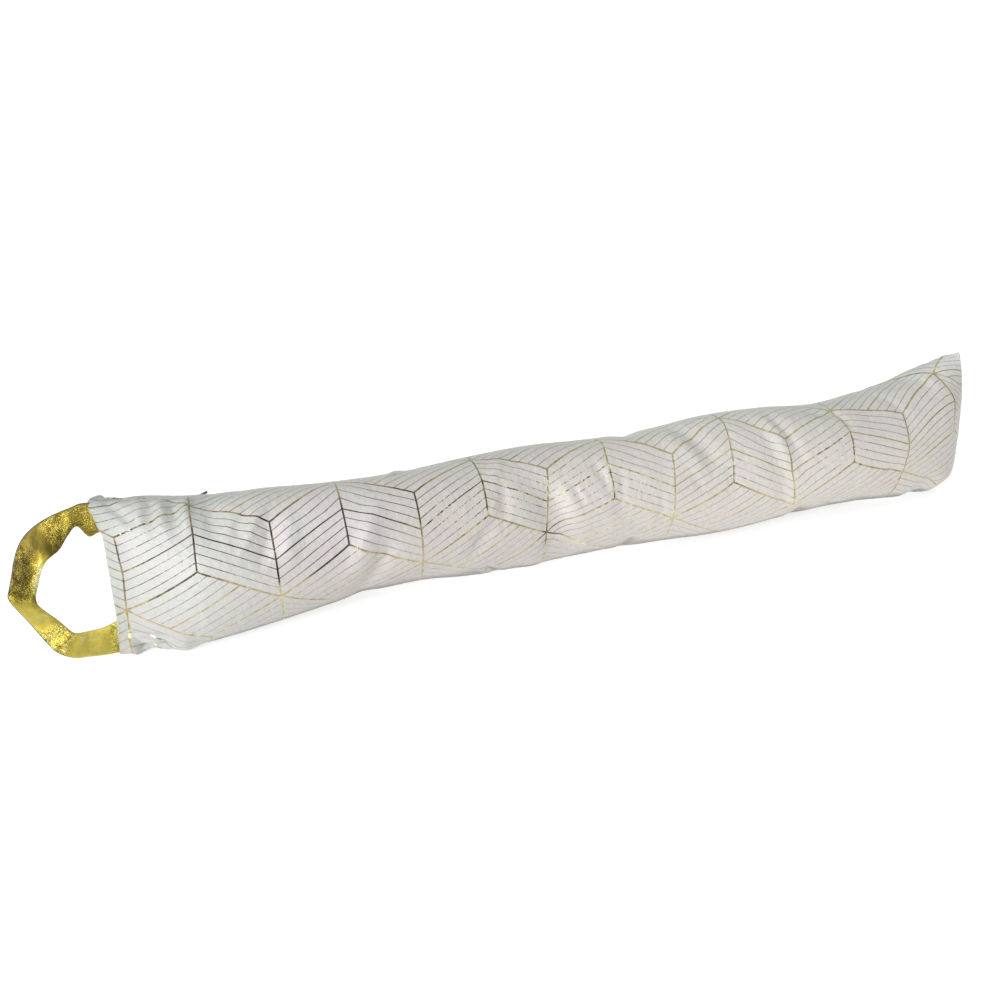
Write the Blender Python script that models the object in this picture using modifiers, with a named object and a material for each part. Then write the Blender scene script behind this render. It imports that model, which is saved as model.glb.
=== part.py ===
"""Draught excluder: a long stuffed cloth tube with a strap handle, in metres, +Z up.

The cover lies along X, with the handle at its -X end and its printed front towards -Y. The origin is
the bottom centre of the whole object's box. Each section of the cover is an ellipse whose tall way
leans back, from the bottom fold to the top edge. The cloth's girth sets its depth, and the floor
presses its underside flat. Towards each end the ellipse closes to the straight, flat end seam.
"""

import math
from bisect import bisect_right
from collections import namedtuple

import bmesh
import bpy
from mathutils import Matrix, Vector

# Driving dimensions
BODY_LENGTH = 0.900
CLOTH_GIRTH = 0.388
SEAM_THICKNESS = 0.003
LEFT_CLOSING = 0.085
RIGHT_CLOSING = 0.075
CLOSING_POWER = 0.6
PRESSED_SHARE = 0.08
STRAP_THICKNESS = 0.0024
GAP = 0.0004

# The right end's edge is drawn back at its lower corner, and a little at its ear
LOWER_TUCK = 0.024
UPPER_TUCK = 0.006
TUCK_REACH = 0.100
LOWER_TUCK_FROM = 0.55
UPPER_TUCK_FROM = 0.30

# How finely the cover is faceted
SIDE_STEPS = 16
CLOSING_RINGS = 11
RING_SPACING = 0.018

# Where the whole object's bottom centre lies, in the measures of the table of sections
ORIGIN_ALONG = 0.4050
ORIGIN_ASIDE = 0.0019

# Sections of the cover, by distance from the left end seam. The lean is in degrees from the floor.
Section = namedtuple("Section", "along half_height aside lean")
SECTIONS = (
    Section(0.000, 0.0750, -0.003, 60),
    Section(0.040, 0.0730, -0.005, 56),
    Section(0.080, 0.0685, -0.006, 52),
    Section(0.145, 0.0630, -0.001, 50),
    Section(0.210, 0.0570, 0.004, 50),
    Section(0.275, 0.0545, 0.007, 50),
    Section(0.340, 0.0590, 0.004, 50),
    Section(0.410, 0.0600, 0.006, 50),
    Section(0.475, 0.0580, 0.004, 52),
    Section(0.540, 0.0590, 0.002, 53),
    Section(0.605, 0.0630, 0.002, 55),
    Section(0.675, 0.0610, 0.005, 56),
    Section(0.740, 0.0570, 0.006, 58),
    Section(0.805, 0.0610, 0.006, 64),
    Section(0.850, 0.0685, 0.002, 71),
    Section(0.900, 0.0810, -0.014, 79),
)

# Folds of the strap, from its upper end to its lower one. Each row is a line across the strap, in
# the left seam's leaning plane: out from the seam, up from the seam's middle, and how far it bulges.
Fold = namedtuple("Fold", "outer_out outer_up inner_out inner_up bulge")
FOLDS = (
    Fold(0.0003, 0.073, 0.0003, 0.041, 0.0000),
    Fold(0.0140, 0.071, 0.0140, 0.040, 0.0008),
    Fold(0.0360, 0.066, 0.0240, 0.052, 0.0025),
    Fold(0.0570, 0.057, 0.0390, 0.036, 0.0005),
    Fold(0.0730, 0.043, 0.0520, 0.027, -0.0020),
    Fold(0.0830, 0.018, 0.0610, 0.016, 0.0000),
    Fold(0.0900, -0.002, 0.0670, -0.006, 0.0030),
    Fold(0.0740, -0.035, 0.0520, -0.030, -0.0010),
    Fold(0.0580, -0.057, 0.0390, -0.044, 0.0015),
    Fold(0.0330, -0.069, 0.0200, -0.044, 0.0005),
    Fold(0.0003, -0.069, 0.0003, -0.042, 0.0000),
)

# Zip glider on the long seam, which runs behind the top edge
ZIP_ALONG = 0.080
ZIP_BEHIND_TOP = math.radians(22)
SLIDER_SIZE = (0.0100, 0.0065, 0.0024)
SLIDER_ROUNDING = 0.0008
RING_RADIUS = 0.0028
RING_WIRE_RADIUS = 0.0006
RING_HEIGHT = 0.0012

# Pull, hung on the glider's ring and lifted off the cloth
PULL_LIFT = math.radians(30)
PULL_LENGTH = 0.0127
PULL_THICKNESS = 0.0011
EYE_RADIUS = 0.0023
EYE_HOLE_RADIUS = 0.0010
PULL_TIP_RADIUS = 0.0017
ARC_STEPS = 12

Finish = namedtuple("Finish", "colour roughness metallic")
FINISHES = {
    "printed_cloth": Finish((0.84, 0.83, 0.81, 1.0), 0.55, 0.0),
    "gold_cloth": Finish((0.78, 0.58, 0.16, 1.0), 0.35, 1.0),
    "black_metal": Finish((0.02, 0.02, 0.02, 1.0), 0.40, 0.0),
}


# Reading the tables
def column_at(column, along):
    """A column of SECTIONS at any distance along the body, on a smooth curve through its rows."""
    places = [row.along for row in SECTIONS]
    values = [getattr(row, column) for row in SECTIONS]
    last = len(SECTIONS) - 1

    def slope(row):
        low, high = max(row - 1, 0), min(row + 1, last)
        return (values[high] - values[low]) / (places[high] - places[low])

    row = min(max(bisect_right(places, along) - 1, 0), last - 1)
    span = places[row + 1] - places[row]
    t = (along - places[row]) / span
    return (
        values[row] * (1 + 2 * t) * (1 - t) ** 2
        + values[row + 1] * t * t * (3 - 2 * t)
        + span * slope(row) * t * (1 - t) ** 2
        + span * slope(row + 1) * t * t * (t - 1)
    )


def closing(distance, length):
    """How far the tube has opened, from 0 at an end seam to 1 at length and beyond."""
    t = min(max(distance / length, 0.0), 1.0)
    return (1 - (1 - t) ** 2) ** CLOSING_POWER


def tuck(along, rise):
    """How far a point near the right end is drawn back along X, where rise runs from -1 at the bottom
    fold to 1 at the top edge."""
    near_end = max(0.0, 1 - (BODY_LENGTH - along) / TUCK_REACH) ** 2
    lower = max(0.0, (-rise - LOWER_TUCK_FROM) / (1 - LOWER_TUCK_FROM)) ** 2
    upper = max(0.0, (rise - UPPER_TUCK_FROM) / (1 - UPPER_TUCK_FROM)) ** 2
    return near_end * (LOWER_TUCK * lower + UPPER_TUCK * upper)


# The cover's surface
def surface_point(along, turn):
    """A point of the cover. Turn goes round a section: 0 faces front, a quarter turn is the top edge."""
    tall = column_at("half_height", along)
    lean = math.radians(column_at("lean", along))
    round_radius = CLOTH_GIRTH / (2 * math.pi)
    full_depth = math.sqrt(2 * round_radius**2 - tall**2)
    opened = closing(along, LEFT_CLOSING) * closing(BODY_LENGTH - along, RIGHT_CLOSING)
    deep = SEAM_THICKNESS / 2 + (full_depth - SEAM_THICKNESS / 2) * opened
    centre_height = math.hypot(tall * math.sin(lean), deep * math.cos(lean)) - PRESSED_SHARE * deep
    up = tall * math.sin(turn)
    front = deep * math.cos(turn)
    aside = column_at("aside", along) + up * math.cos(lean) - front * math.sin(lean)
    height = centre_height + up * math.sin(lean) + front * math.cos(lean)
    return Vector((along - tuck(along, math.sin(turn)), aside, max(height, 0.0)))


def surface_frame(along, turn):
    """A frame on the cover: X along the body, Z straight out of the cloth, origin on the cloth."""
    step = 0.004
    turn_step = 0.05
    here = surface_point(along, turn)
    along_body = surface_point(along + step, turn) - surface_point(along - step, turn)
    round_body = surface_point(along, turn + turn_step) - surface_point(along, turn - turn_step)
    x_axis = along_body.normalized()
    z_axis = along_body.cross(round_body).normalized()
    y_axis = z_axis.cross(x_axis)
    frame = Matrix((x_axis, y_axis, z_axis)).transposed().to_4x4()
    frame.translation = here
    return frame


def ring_places():
    """Distances along the body of the cover's rings, closer together towards the end seams."""
    squared = [(i / CLOSING_RINGS) ** 2 for i in range(CLOSING_RINGS)]
    middle = BODY_LENGTH - LEFT_CLOSING - RIGHT_CLOSING
    count = round(middle / RING_SPACING)
    left = [LEFT_CLOSING * share for share in squared]
    tube = [LEFT_CLOSING + middle * i / count for i in range(count + 1)]
    right = [BODY_LENGTH - RIGHT_CLOSING * share for share in reversed(squared)]
    return left + tube + right


# Making objects
def material(name):
    finish = FINISHES[name]
    made = bpy.data.materials.new(name)
    made.use_nodes = True
    shader = made.node_tree.nodes["Principled BSDF"]
    shader.inputs["Base Color"].default_value = finish.colour
    shader.inputs["Roughness"].default_value = finish.roughness
    shader.inputs["Metallic"].default_value = finish.metallic
    made.diffuse_color = finish.colour
    return made


def add_object(name, data, collection, parent, finish):
    """Links data, a mesh or curve, as a named object under parent."""
    made = bpy.data.objects.new(name, data)
    collection.objects.link(made)
    made.parent = parent
    data.materials.append(finish)
    return made


def mesh_from(name, shape):
    """Turns a bmesh into a mesh whose faces point out."""
    bmesh.ops.recalc_face_normals(shape, faces=shape.faces)
    mesh = bpy.data.meshes.new(name)
    shape.to_mesh(mesh)
    shape.free()
    return mesh


def bridge(shape, ring, next_ring):
    """Faces between two rings of equally many vertices."""
    count = len(ring)
    for i in range(count):
        j = (i + 1) % count
        shape.faces.new((ring[i], ring[j], next_ring[j], next_ring[i]))


def add_cover(collection, parent):
    """The filled cover, lofted from its sections, with a narrow edge at each end seam."""
    shape = bmesh.new()
    turns = [math.pi * i / SIDE_STEPS - math.pi / 2 for i in range(2 * SIDE_STEPS)]
    rings = []
    for along in ring_places():
        rings.append([shape.verts.new(surface_point(along, turn)) for turn in turns])
    for ring, next_ring in zip(rings, rings[1:]):
        bridge(shape, ring, next_ring)
    for ring in (rings[0], rings[-1]):
        front = ring[: SIDE_STEPS + 1]
        back = [ring[-i % len(ring)] for i in range(SIDE_STEPS + 1)]
        for i in range(SIDE_STEPS):
            corners = (front[i], front[i + 1], back[i + 1], back[i])
            shape.faces.new(dict.fromkeys(corners))
    cover = add_object("cover", mesh_from("cover", shape), collection, parent, material("printed_cloth"))
    cover.data.shade_smooth()
    return cover


def add_handle(collection, parent):
    """The strap: one flat piece from fold to fold, in the plane of the left end seam."""
    half = STRAP_THICKNESS / 2
    shape = bmesh.new()
    rings = []
    for fold in FOLDS:
        outer = Vector((-fold.outer_out, fold.outer_up, fold.bulge))
        inner = Vector((-fold.inner_out, fold.inner_up, fold.bulge))
        lift = Vector((0, 0, half))
        corners = (outer + lift, inner + lift, inner - lift, outer - lift)
        rings.append([shape.verts.new(corner) for corner in corners])
    for ring, next_ring in zip(rings, rings[1:]):
        bridge(shape, ring, next_ring)
    shape.faces.new(rings[0])
    shape.faces.new(rings[-1])
    handle = add_object("handle", mesh_from("handle", shape), collection, parent, material("gold_cloth"))
    top, bottom = surface_point(0.0, math.pi / 2), surface_point(0.0, -math.pi / 2)
    handle.location = (top + bottom) / 2
    handle.rotation_euler.x = math.radians(SECTIONS[0].lean)
    return handle


def add_slider(collection, cutters, parent, finish):
    """The glider: a small rounded block with a ring standing half sunk in its top."""
    shape = bmesh.new()
    bmesh.ops.create_cube(shape, size=1.0)
    bmesh.ops.scale(shape, vec=SLIDER_SIZE, verts=shape.verts)
    slider = add_object("zip_slider", mesh_from("zip_slider", shape), collection, parent, finish)
    slider.location.z = GAP + SLIDER_SIZE[2] / 2
    rounding = slider.modifiers.new("rounding", "BEVEL")
    rounding.width = SLIDER_ROUNDING
    rounding.segments = 2
    bpy.ops.mesh.primitive_torus_add(
        major_radius=RING_RADIUS,
        minor_radius=RING_WIRE_RADIUS,
        major_segments=24,
        minor_segments=8,
    )
    ring = bpy.context.object
    ring.name = "slider_ring"
    for old in list(ring.users_collection):
        old.objects.unlink(ring)
    cutters.objects.link(ring)
    ring.parent = parent
    ring.rotation_euler.x = math.pi / 2
    ring.location.z = GAP + SLIDER_SIZE[2] + RING_HEIGHT
    ring.hide_render = True
    ring.display_type = "WIRE"
    join = slider.modifiers.new("ring", "BOOLEAN")
    join.operation = "UNION"
    join.object = ring
    return slider


def arc(centre_x, radius, start, end):
    """Points on an arc about (centre_x, 0), from the angle start to the angle end."""
    angles = [start + (end - start) * i / ARC_STEPS for i in range(ARC_STEPS + 1)]
    return [(centre_x + radius * math.cos(a), radius * math.sin(a)) for a in angles]


def add_pull(collection, parent, finish):
    """The pull: a flat tapered tab whose eye goes round the glider's ring."""
    outline = bpy.data.curves.new("zip_pull", "CURVE")
    outline.dimensions = "2D"
    outline.fill_mode = "BOTH"
    outline.extrude = PULL_THICKNESS / 2
    quarter = math.pi / 2
    edge = arc(0, EYE_RADIUS, quarter, 3 * quarter)
    edge += arc(PULL_LENGTH - PULL_TIP_RADIUS, PULL_TIP_RADIUS, -quarter, quarter)
    hole = arc(0, EYE_HOLE_RADIUS, 0, 4 * quarter)[:-1]
    for points in (edge, hole):
        spline = outline.splines.new("POLY")
        spline.points.add(len(points) - 1)
        for point, (x, y) in zip(spline.points, points):
            point.co = (x, y, 0, 1)
        spline.use_cyclic_u = True
    pull = add_object("zip_pull", outline, collection, parent, finish)
    ring_centre = Vector((0, 0, GAP + SLIDER_SIZE[2] + RING_HEIGHT))
    pull.rotation_euler.y = -PULL_LIFT
    pull.location = ring_centre + RING_RADIUS * Vector((math.cos(PULL_LIFT), 0, math.sin(PULL_LIFT)))
    return pull


def add_empty(name, collection, parent, frame):
    made = bpy.data.objects.new(name, None)
    collection.objects.link(made)
    made.parent = parent
    made.matrix_local = frame
    return made


def main():
    for old in list(bpy.data.objects):
        bpy.data.objects.remove(old)
    parts = bpy.data.collections.new("draught_excluder")
    cutters = bpy.data.collections.new("cutters")
    bpy.context.scene.collection.children.link(parts)
    bpy.context.scene.collection.children.link(cutters)
    origin = Matrix.Translation((-ORIGIN_ALONG, -ORIGIN_ASIDE, 0))
    body = add_empty("body", parts, None, origin)
    add_cover(parts, body)
    add_handle(parts, body)
    zip_frame = surface_frame(ZIP_ALONG, math.pi / 2 + ZIP_BEHIND_TOP)
    zip_place = add_empty("zip_place", parts, body, zip_frame)
    black = material("black_metal")
    add_slider(parts, cutters, zip_place, black)
    add_pull(parts, zip_place, black)


main()
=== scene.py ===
"""Looks of a draught excluder: a stuffed tube of white cloth with a printed gold line lattice, a strap
of gold foil cloth at its left end, and a black zip glider behind its top edge.

Everything is in metres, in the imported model's frame: +X along the tube, -Y its printed front, +Z up.
Cloth places are given by "along", the distance from the left end seam, and by "u", the distance round
the tube from the print's middle row, positive towards the top and the back.
"""

import math
from collections import namedtuple

import bpy
import numpy as np
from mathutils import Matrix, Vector, noise


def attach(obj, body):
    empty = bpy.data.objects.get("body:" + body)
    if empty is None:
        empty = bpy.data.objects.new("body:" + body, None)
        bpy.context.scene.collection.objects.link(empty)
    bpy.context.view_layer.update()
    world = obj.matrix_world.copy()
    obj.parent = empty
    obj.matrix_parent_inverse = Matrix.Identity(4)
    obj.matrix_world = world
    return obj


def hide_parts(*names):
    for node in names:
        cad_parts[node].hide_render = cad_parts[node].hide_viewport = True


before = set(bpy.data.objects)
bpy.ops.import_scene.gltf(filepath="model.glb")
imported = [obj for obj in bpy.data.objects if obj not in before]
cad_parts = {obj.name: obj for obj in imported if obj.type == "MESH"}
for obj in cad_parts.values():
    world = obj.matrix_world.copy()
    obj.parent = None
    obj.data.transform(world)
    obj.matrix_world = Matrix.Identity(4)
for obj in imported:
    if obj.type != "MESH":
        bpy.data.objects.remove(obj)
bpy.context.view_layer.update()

MM = 0.001


def table(columns, rows, defaults=()):
    """Rows of values, with a name for each column."""
    row_type = namedtuple("Row", columns, defaults=defaults)
    return [row_type(*row) for row in rows]


def new_object(name, data):
    made = bpy.data.objects.new(name, data)
    bpy.context.scene.collection.objects.link(made)
    return made


# Camera, at the photograph's viewing angle: its place, its turn in degrees and its lens in millimetres
CAMERA_PLACE = (-0.2871, -0.7988, 0.6255)
CAMERA_TURN = (56.5, 0, -17.6)
LENS = 36
SENSOR_WIDTH = 36
VIEW_END = 60


def add_camera():
    data = bpy.data.cameras.new("camera")
    data.lens = LENS
    data.sensor_width = SENSOR_WIDTH
    data.clip_end = VIEW_END
    camera = new_object("camera", data)
    camera.location = CAMERA_PLACE
    camera.rotation_euler = [math.radians(angle) for angle in CAMERA_TURN]
    bpy.context.scene.camera = camera


add_camera()


# Node graphs
class Graph:
    """A material's node graph. An input is given as another node's output socket or as a plain value."""

    def __init__(self, name):
        self.material = bpy.data.materials.new(name)
        self.material.use_nodes = True
        self.tree = self.material.node_tree
        self.shader = self.tree.nodes["Principled BSDF"]

    def node(self, kind, inputs=(), **settings):
        made = self.tree.nodes.new(kind)
        for key, value in settings.items():
            setattr(made, key, value)
        for key, value in dict(inputs).items():
            self.feed(made.inputs[key], value)
        return made

    def feed(self, socket, value):
        if isinstance(value, bpy.types.NodeSocket):
            self.tree.links.new(value, socket)
        else:
            socket.default_value = value

    def math(self, operation, *values):
        made = self.node("ShaderNodeMath", enumerate(values), operation=operation)
        return made.outputs[0]

    def chain(self, operation, values):
        """One operation from value to value."""
        made = values[0]
        for value in values[1:]:
            made = self.math(operation, made, value)
        return made

    def total(self, *values):
        return self.chain("ADD", values)

    def minus(self, *values):
        """The first value less all the others."""
        return self.chain("SUBTRACT", values)

    def product(self, *values):
        return self.chain("MULTIPLY", values)

    def least(self, *values):
        return self.chain("MINIMUM", values)

    def most(self, *values):
        return self.chain("MAXIMUM", values)

    def opposite(self, value):
        return self.minus(1.0, value)

    def swing(self, value, amount):
        """A value of 0 to 1 made into one from -amount / 2 to amount / 2."""
        return self.product(self.minus(value, 0.5), amount)

    def step(self, value, low, high, to_low=0.0, to_high=1.0):
        """Goes smoothly from to_low, where value is under low, to to_high, where it is over high."""
        inputs = {"Value": value, "From Min": low, "From Max": high, "To Min": to_low, "To Max": to_high}
        made = self.node("ShaderNodeMapRange", inputs, interpolation_type="SMOOTHSTEP")
        return made.outputs[0]

    def vector(self, x, y, z=0.0):
        return self.node("ShaderNodeCombineXYZ", {"X": x, "Y": y, "Z": z}).outputs[0]

    def parts(self, vector):
        return self.node("ShaderNodeSeparateXYZ", {"Vector": vector}).outputs

    def noise(self, place, scale, detail=2.0, roughness=0.5):
        inputs = {"Vector": place, "Scale": scale, "Detail": detail, "Roughness": roughness}
        return self.node("ShaderNodeTexNoise", inputs).outputs[0]

    def mix(self, factor, low, high):
        """A colour between two colours."""
        return self.node("ShaderNodeMix", {0: factor, 6: low, 7: high}, data_type="RGBA").outputs[2]

    def tinted(self, colour, shade):
        """A colour times another colour or a number."""
        inputs = {0: 1.0, 6: colour, 7: shade}
        return self.node("ShaderNodeMix", inputs, data_type="RGBA", blend_type="MULTIPLY").outputs[2]

    def blend(self, factor, low, high):
        """A number between two numbers."""
        return self.node("ShaderNodeMix", {0: factor, 2: low, 3: high}, data_type="FLOAT").outputs[0]

    def ramp(self, factor, stops):
        """A colour from (place, colour) stops."""
        made = self.node("ShaderNodeValToRGB", {"Fac": factor})
        elements = made.color_ramp.elements
        while len(elements) < len(stops):
            elements.new(1.0)
        for element, (place, colour) in zip(elements, stops):
            element.position = place
            element.color = (*colour, 1.0)
        return made.outputs[0]

    def bump(self, height, distance, strength=1.0, normal=None):
        """A normal from a height of 0 to 1, where 1 stands for distance in metres."""
        made = self.node("ShaderNodeBump", {"Height": height, "Distance": distance, "Strength": strength})
        if normal is not None:
            self.feed(made.inputs["Normal"], normal)
        return made.outputs[0]

    def set(self, **inputs):
        """Sets the shader's inputs, named with _ for a space."""
        for key, value in inputs.items():
            self.feed(self.shader.inputs[key.replace("_", " ")], value)


# Print of the cloth: a lattice of rhombuses in three directions, each hatched along one of its sides.
# The pitch is the distance between its columns and the rise that between its rows, and PRINT_START is
# the column at the left end seam.
PRINT_PITCH = 0.0662
PRINT_RISE = 0.0700
PRINT_START = -0.17
HATCH_BANDS = 8
EDGE_WIDTH = 1.65 * MM
MIDDLE_LINE_WIDTH = 1.25 * MM
THIN_LINE_WIDTH = 0.80 * MM
LINE_BLUR = 0.20 * MM


def printed_lines(g, s, t):
    """The print's lattice. Returns (how much of a lattice edge or middle line is here, how much of a
    thin line is here), where s counts columns of the lattice along the cloth and t counts rows up it."""
    # Two families of slanting lines, which p and q count, leave cells of three kinds. The first lacks
    # its upper sides, the second its lower sides and the third the upright line across it.
    side = PRINT_RISE * PRINT_PITCH / math.hypot(PRINT_PITCH, PRINT_RISE / 2)
    half_s = g.product(s, 0.5)
    p, q = g.minus(t, half_s), g.total(t, half_s)
    fp, fq = g.math("FRACT", p), g.math("FRACT", q)
    floors = g.total(g.math("FLOOR", p), g.math("FLOOR", q))
    kind = g.math("FLOORED_MODULO", g.minus(floors, 0.5), 3.0)
    first = g.math("LESS_THAN", kind, 1.0)
    third = g.math("GREATER_THAN", kind, 2.0)
    second = g.minus(1.0, first, third)
    right = g.math("GREATER_THAN", fq, fp)

    def side_missing(fraction):
        """1 where the nearer of two parallel sides isn't printed."""
        return g.blend(g.math("LESS_THAN", fraction, 0.5), first, second)

    def side_distance(fraction):
        nearer = g.product(g.least(fraction, g.opposite(fraction)), side)
        return g.total(nearer, side_missing(fraction))

    upright = g.product(g.math("ABSOLUTE", g.minus(fq, fp)), PRINT_PITCH)
    edge = g.least(g.total(upright, third), side_distance(fp), side_distance(fq))

    # Hatching, with a wider line at its middle
    hatch_along = g.blend(g.blend(right, first, second), p, q)
    hatch_part = g.math("FRACT", g.product(hatch_along, HATCH_BANDS))
    hatch = g.product(g.least(hatch_part, g.opposite(hatch_part)), side / HATCH_BANDS)
    off_middle = g.math("ABSOLUTE", g.minus(g.math("FRACT", hatch_along), 0.5))
    is_middle = g.math("LESS_THAN", off_middle, 0.5 / HATCH_BANDS)

    def line(distance, width):
        return g.step(distance, width / 2 - LINE_BLUR, width / 2 + LINE_BLUR, 1.0, 0.0)

    thick = g.most(line(edge, EDGE_WIDTH), g.product(line(hatch, MIDDLE_LINE_WIDTH), is_middle))
    thin = g.product(line(hatch, THIN_LINE_WIDTH), g.opposite(is_middle))
    return thick, thin


# Spots where the foil is worn to dots, by the print's columns and rows, with half sizes. The dots that
# are left get painted glints and painted dark reflections.
WORN_SPOTS = table("column row wide tall", (
    (0.25, 0.15, 0.35, 0.12),
    (4.55, -0.35, 0.5, 0.3),
    (5.55, -0.3, 0.5, 0.35),
    (6.6, -0.25, 0.6, 0.36),
    (7.35, -0.42, 0.35, 0.2),
    (9.15, -0.35, 0.3, 0.2),
    (10.8, -0.3, 0.5, 0.3),
))
THIN_WEAR = 0.36
THICK_WEAR = 0.28

# In the same way, where a painted dark reflection darkens the foil, at the star in the middle, and where
# the white cloth is a little violet
DARK_REFLECTION_SPOT, VIOLET_SPOT = table("column row wide tall", (
    (6.12, -1.06, 0.28, 0.2),
    (2.85, -0.24, 0.95, 0.6),
))

# Patches of painted light and painted shade on the white cloth, and by how much each lightens it;
# a negative amount darkens it
PAINTED_LIGHT_PATCHES = table("column row wide tall light", (
    (0.35, 0.6, 0.9, 0.5, -0.08),
    (3, 0.35, 1.6, 0.6, 0.05),
    (0.99, -0.8, 0.35, 0.7, 0.04),
    (1.62, 0.03, 0.22, 0.24, 0.05),
    (1.56, -0.37, 0.2, 0.18, -0.06),
    (2.11, -0.2, 0.22, 0.28, 0.08),
    (2.75, -0.05, 0.7, 0.4, 0.05),
    (3.11, -0.47, 0.25, 0.4, 0.06),
    (3.61, -0.89, 0.2, 0.3, 0.05),
    (6.05, -0.02, 0.18, 0.25, -0.05),
    (6.18, -0.78, 0.24, 0.45, 0.09),
    (11.6, 0.55, 1.9, 0.85, -0.075),
    (9, -0.8, 1.5, 0.8, 0.03),
    (13.2, 0.45, 0.6, 0.9, -0.06),
))

# Foil of the thick and the thin lines, by how light its painted reflection is
THICK_FOIL = (
    (0.12, (0.022, 0.018, 0.016)),
    (0.3, (0.12, 0.095, 0.055)),
    (0.46, (0.33, 0.28, 0.135)),
    (0.62, (0.5, 0.44, 0.22)),
    (0.82, (0.8, 0.72, 0.42)),
)
THIN_FOIL = (
    (0.1, (0.035, 0.032, 0.032)),
    (0.34, (0.19, 0.175, 0.17)),
    (0.5, (0.33, 0.31, 0.3)),
    (0.64, (0.43, 0.41, 0.35)),
    (0.82, (0.66, 0.62, 0.42)),
)
COPPER = (0.75, 0.44, 0.28, 1.0)

# White cloth: its colours and faint tints, painted light and shade along the tube, painted shade round
# it from the underside to halfway up the front, and painted shade with a faint green tint at the left
# edge
WARM_WHITE = (0.600, 0.574, 0.553, 1.0)
COOL_WHITE = (0.592, 0.600, 0.590, 1.0)
VIOLET_WHITE = (0.594, 0.572, 0.583, 1.0)
CLOTH_TINTS = (
    (0.35, (0.97, 1, 0.97)),
    (0.5, (0.99, 0.99, 0.98)),
    (0.65, (1, 0.97, 0.99)),
)
PAINTED_LIGHT_ALONG = [(place, (light, light, light)) for place, light in (
    (0, 0.92), (0.1, 0.93), (0.2, 0.91), (0.3, 0.92), (0.45, 1.02), (0.7, 1.145), (0.92, 1.125),
)]
PAINTED_LIGHT_COLUMNS = 14
PAINTED_SHADE_ROUND = (
    (0, (0.86, 0.86, 0.86)),
    (0.3, (0.9, 0.89, 0.88)),
    (0.8, (0.97, 0.96, 0.95)),
    (1, (1, 1, 1)),
)
PAINTED_EDGE_SHADE = ((0, (0.84, 0.87, 0.85)), (1, (1, 1, 1)))
WEAVE_ALONG = 0.45 * MM
WEAVE_ROUND = 0.40 * MM


def inside(g, s, t, spot):
    """1 inside a spot of the print and 0 outside it."""
    x = g.product(g.minus(s, spot.column), 1 / spot.wide)
    y = g.product(g.minus(t, spot.row), 1 / spot.tall)
    return g.step(g.total(g.product(x, x), g.product(y, y)), 0.2, 1.6, 1.0, 0.0)


def foil_light(g, s, t, place, worn):
    """Returns (how light the foil is, how much of its painted dark reflection is here). That painted
    reflection is halfway up the front, most of all towards the left end."""
    drift = g.noise(place, 26.0)
    painted_glint = g.noise(place, 170.0, 3.0, 0.6)
    from_node = g.math("FRACT", g.product(g.minus(s, 1.0), 0.5))
    lowest = g.blend(g.step(from_node, 0.42, 0.50), -0.56, -0.78)
    above = g.minus(t, g.total(lowest, g.step(s, 3.6, 4.2, 0.0, 0.40)))
    halfway = g.product(g.step(above, -0.10, 0.12), g.step(t, -0.10, 0.30, 1.0, 0.0))
    left_part = g.product(g.step(s, 0.05, 0.40), g.step(s, 4.9, 5.5, 1.0, 0.0))
    left_part = g.product(left_part, g.step(s, 2.5, 3.3, 1.0, 0.75))
    # Painted dark reflection halfway up the front
    dark_reflection = g.product(halfway, g.most(left_part, g.product(g.step(drift, 0.53, 0.61), 0.4)))
    light = g.total(
        0.5,
        g.swing(drift, 0.4),
        # Painted glints
        g.swing(painted_glint, 0.7),
        g.product(dark_reflection, -0.36),
        # Painted reflection: lighter lower down and from column 5, darker at the left seam and from
        # column 10
        g.step(t, -1.10, -0.60, 0.04, 0.0),
        g.product(g.step(s, 0.05, 0.15, 1.0, 0.0), g.step(t, -1.0, -0.9), -0.08),
        g.step(s, 5.2, 7.0, 0.0, 0.11),
        g.step(s, 10.4, 11.8, 0.0, -0.08),
        g.product(inside(g, s, t, DARK_REFLECTION_SPOT), -0.30),
        # Painted glints and dark reflections on the worn dots
        g.product(worn, g.minus(painted_glint, 0.52), 2.6),
    )
    return light, dark_reflection


def foil_left(g, lines, worn, wear, specks):
    """How much of the lines still has foil, which has cracked off where it is worn."""
    return g.product(lines, g.step(g.minus(specks, g.product(worn, wear)), 0.10, 0.18))


def foil_colour(g, s, t, place, worn, thick):
    light, dark_reflection = foil_light(g, s, t, place, worn)
    copper = g.step(g.noise(place, 62.0), 0.62, 0.70)
    copper = g.product(copper, g.opposite(dark_reflection), 0.6)
    thick_colour = g.mix(copper, g.ramp(light, THICK_FOIL), COPPER)
    thin_colour = g.ramp(g.total(light, g.product(dark_reflection, 0.08)), THIN_FOIL)
    return g.mix(thick, thin_colour, thick_colour)


def underside_shade(g, s, t):
    """How dark the cloth is along the lower outline: close to the floor at the left end, and on what
    faces down further along. The end seams' feet stay light."""
    height = g.parts(g.node("ShaderNodeTexCoord").outputs["Object"])["Z"]
    upward = g.parts(g.node("ShaderNodeNewGeometry").outputs["Normal"])["Z"]
    close_to_floor = g.step(height, 1 * MM, 5 * MM, 0.80, 0.0)
    faces_down = g.step(upward, -0.74, -0.52, 0.72, 0.0)
    shade = g.blend(g.step(s, 0.75, 1.10), close_to_floor, faces_down)
    return g.product(shade, g.step(t, -1.98, -1.86))


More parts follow.
